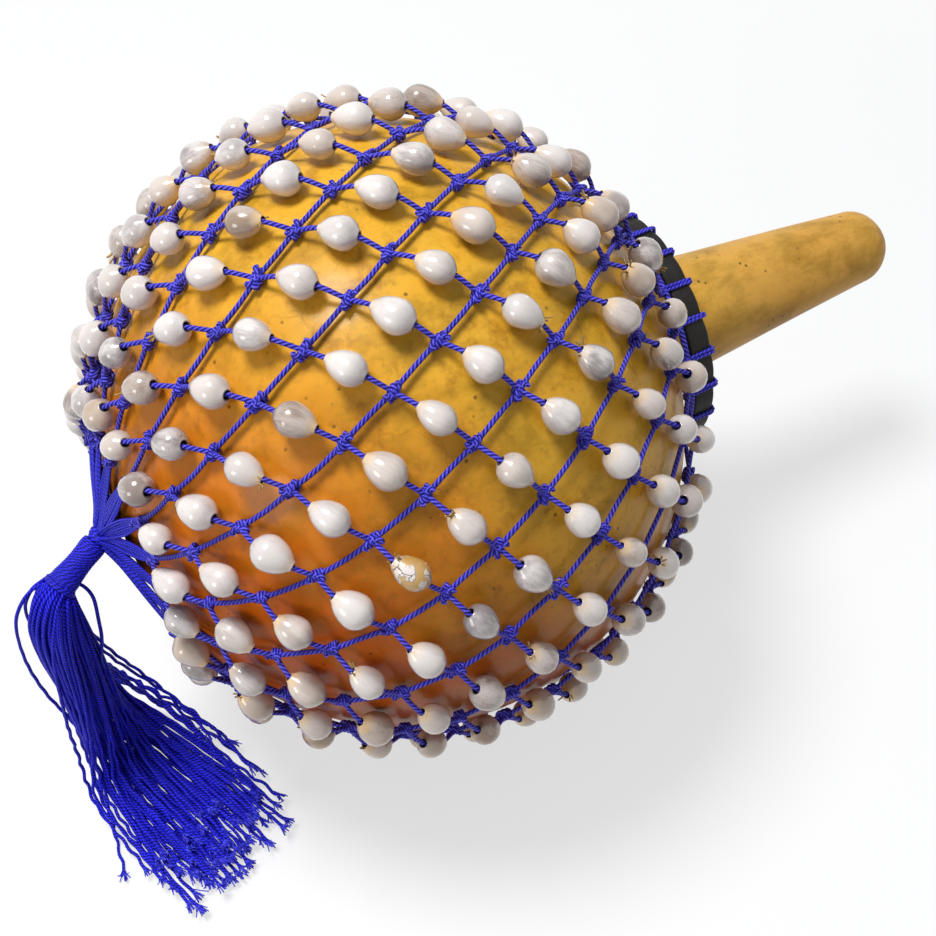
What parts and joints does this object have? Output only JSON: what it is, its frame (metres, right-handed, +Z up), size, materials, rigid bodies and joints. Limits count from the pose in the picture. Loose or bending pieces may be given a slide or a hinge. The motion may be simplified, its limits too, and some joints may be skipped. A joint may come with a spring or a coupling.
{
  "type": "shekere",
  "caption": "Gourd rattle: a dried bottle gourd with a handle, in a loose net of knotted cord and seed beads, with a collar ring and a tassel",
  "frame": {"origin": "centre of the bounding box in plan, on the surface that the lowest beads lie on", "axes": "+X along the handle, away from the bulb, +Z up, +Y to the left when looking along the handle"},
  "size_m": [0.243, 0.1618, 0.1612],
  "materials": {
    "gourd_shell": "polished, mottled ochre rind",
    "ring": "satin",
    "cord": "twisted, slightly shiny",
    "bead": "naturally glossy dried seed",
    "strand": "twisted, slightly shiny"
  },
  "bodies": {
    "gourd": {"gourd": "gourd_shell"},
    "net": {"collar_ring": "ring", "collar_cord": "cord", "collar_straps": "cord", "net_row_00": "cord", "net_row_01": "cord", "net_row_02": "cord", "net_row_03": "cord", "net_row_04": "cord", "net_row_05": "cord", "net_row_06": "cord", "net_row_07": "cord", "net_row_08": "cord", "net_row_09": "cord", "net_row_10": "cord", "net_row_11": "cord", "net_row_12": "cord", "bead_row_00": "bead", "bead_row_01": "bead", "bead_row_02": "bead", "bead_row_03": "bead", "bead_row_04": "bead", "bead_row_05": "bead", "bead_row_06": "bead", "bead_row_07": "bead", "bead_row_08": "bead", "bead_row_09": "bead", "bead_row_10": "bead", "bead_row_11": "bead", "gather_cords": "cord"},
    "knot": {"gather_knot": "cord"},
    "tassel": {"tassel_binding": "cord", "tassel_strands": "strand"}
  },
  "joints": [
    {"name": "net_turn", "type": "hinge", "parent": "gourd", "child": "net", "pos_m": [-0.02542, 0.00017, 0.08029], "axis": [0.9996, 0, -0.0284], "continuous": true},
    {"name": "tassel_sideways", "type": "hinge", "parent": "net", "child": "knot", "pos_m": [-0.09799, 0.00017, 0.08238], "axis": [0, 0, 1], "range_deg": [-50, 25]},
    {"name": "tassel_lift", "type": "hinge", "parent": "knot", "child": "tassel", "pos_m": [-0.09799, 0.00017, 0.08238], "axis": [0, 1, 0], "range_deg": [-6, 55]}
  ]
}
